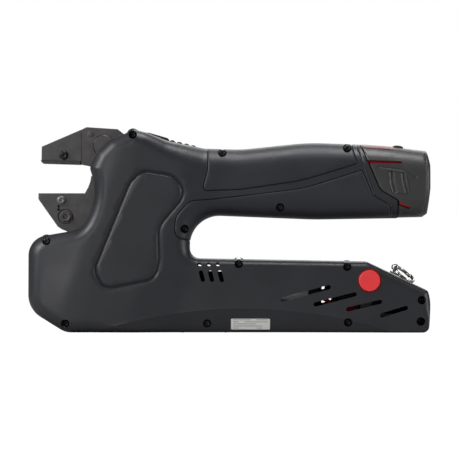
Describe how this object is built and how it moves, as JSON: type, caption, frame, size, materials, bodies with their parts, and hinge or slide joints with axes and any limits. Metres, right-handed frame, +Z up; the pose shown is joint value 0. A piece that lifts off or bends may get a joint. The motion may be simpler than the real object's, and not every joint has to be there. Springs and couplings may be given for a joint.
{
  "type": "battery electric pruner",
  "caption": "One-hand battery tool: a short powered upper jaw closes on a fixed flat jaw; clamshell housing, loop handle, slide-in battery pack and hollow lower arm.",
  "frame": {"origin": "under the middle of the tool, on the flat underside of the lower arm", "axes": "+X towards the battery and rear end, -X towards the jaws, +Y towards the right side of the tool, +Z up"},
  "size_m": [0.2796, 0.054, 0.1428],
  "materials": {
    "housing_nylon": "fine moulded texture",
    "grip_rubber": "moulded, matt",
    "jaw_steel": "dark phosphated steel",
    "bright_steel": "turned",
    "black_screw_steel": "black oxide",
    "nickel": "polished nickel plate",
    "battery_plastic": "fine moulded texture",
    "dark_red_plastic": "moulded",
    "red_plastic": "smooth",
    "label_foil": "satin foil",
    "board": "solder mask",
    "brass": "turned",
    "inner_plastic": "moulded"
  },
  "bodies": {
    "housing": {"left_body_shell": "housing_nylon", "right_body_shell": "housing_nylon", "left_upper_grip": "grip_rubber", "right_upper_grip": "grip_rubber", "left_lower_grip": "grip_rubber", "right_lower_grip": "grip_rubber", "housing_screw_1": "black_screw_steel", "housing_screw_2": "black_screw_steel", "housing_screw_3": "black_screw_steel", "housing_screw_4": "black_screw_steel", "housing_screw_5": "black_screw_steel", "housing_screw_6": "black_screw_steel", "housing_screw_7": "black_screw_steel", "housing_screw_8": "black_screw_steel", "housing_screw_9": "black_screw_steel", "housing_screw_10": "black_screw_steel", "housing_screw_11": "black_screw_steel", "rear_screw_1": "black_screw_steel", "rear_screw_2": "black_screw_steel", "lower_jaw": "jaw_steel", "anvil_block": "jaw_steel", "anvil_screw": "black_screw_steel", "adjuster_washer": "bright_steel", "adjuster_bolt": "black_screw_steel", "pivot_pin": "jaw_steel", "pivot_nut": "bright_steel", "front_bearing": "bright_steel", "thrust_bearing": "bright_steel", "gearbox_case": "black_screw_steel", "motor_can": "bright_steel", "motor_end_cap": "inner_plastic", "control_board": "board", "board_capacitor": "inner_plastic", "switch_block": "inner_plastic", "battery_receiver": "inner_plastic", "motor_wire": "red_plastic", "power_wire": "red_plastic", "button_bezel": "dark_red_plastic", "button_switch": "inner_plastic", "label_plate": "label_foil", "lanyard_post": "nickel"},
    "upper_jaw": {"upper_jaw_arm": "jaw_steel", "jaw_tip": "jaw_steel", "jaw_tip_screw": "black_screw_steel", "jaw_edge": "bright_steel"},
    "nut": {"drive_nut": "brass"},
    "screw": {"lead_screw": "bright_steel", "shaft_coupling": "bright_steel"},
    "trigger": {"thumb_trigger": "housing_nylon"},
    "button": {"red_button": "red_plastic"},
    "battery_pack": {"battery_shell": "battery_plastic", "battery_core": "dark_red_plastic", "cell_1": "label_foil", "cell_2": "label_foil", "cell_3": "label_foil", "battery_contacts": "brass"},
    "left_latch": {"left_latch_pad": "battery_plastic"},
    "right_latch": {"right_latch_pad": "battery_plastic"},
    "ring": {"split_ring": "nickel"}
  },
  "joints": [
    {"name": "jaw_hinge", "type": "hinge", "parent": "housing", "child": "upper_jaw", "pos_m": [-0.0872, 0, 0.1299], "axis": [0, -1, 0], "range_deg": [0, 30]},
    {"name": "nut_slide", "type": "slide", "parent": "housing", "child": "nut", "axis": [1, 0, 0], "range_m": [0, 0.04667]},
    {"name": "screw_spin", "type": "hinge", "parent": "housing", "child": "screw", "pos_m": [-0.08, 0, 0.027], "axis": [1, 0, 0], "range_deg": [0, 1679]},
    {"name": "trigger_press", "type": "hinge", "parent": "housing", "child": "trigger", "pos_m": [-0.0572, 0, 0.1366], "axis": [0, 1, 0], "range_deg": [0, 5], "stiffness_Nm_per_rad": 0.3, "springref_deg": -8.59},
    {"name": "button_press", "type": "slide", "parent": "housing", "child": "button", "axis": [0, 1, 0], "range_m": [0, 0.001], "stiffness_N_per_m": 400, "springref_m": -0.0005},
    {"name": "battery_slide", "type": "slide", "parent": "housing", "child": "battery_pack", "axis": [1, 0, 0], "range_m": [0, 0.07]},
    {"name": "left_latch_press", "type": "slide", "parent": "battery_pack", "child": "left_latch", "axis": [0, 1, 0], "range_m": [0, 0.0013], "stiffness_N_per_m": 400, "springref_m": -0.0005},
    {"name": "right_latch_press", "type": "slide", "parent": "battery_pack", "child": "right_latch", "axis": [0, -1, 0], "range_m": [0, 0.0013], "stiffness_N_per_m": 400, "springref_m": -0.0005},
    {"name": "ring_swing", "type": "hinge", "parent": "housing", "child": "ring", "pos_m": [0.1162, 0, 0.045], "axis": [0, -1, 0], "range_deg": [0, 100]}
  ],
  "couplings": [
    {"joint": "nut_slide", "follows": "jaw_hinge", "m_per_rad": 0.088941},
    {"joint": "screw_spin", "follows": "jaw_hinge", "ratio": 55.883}
  ]
}
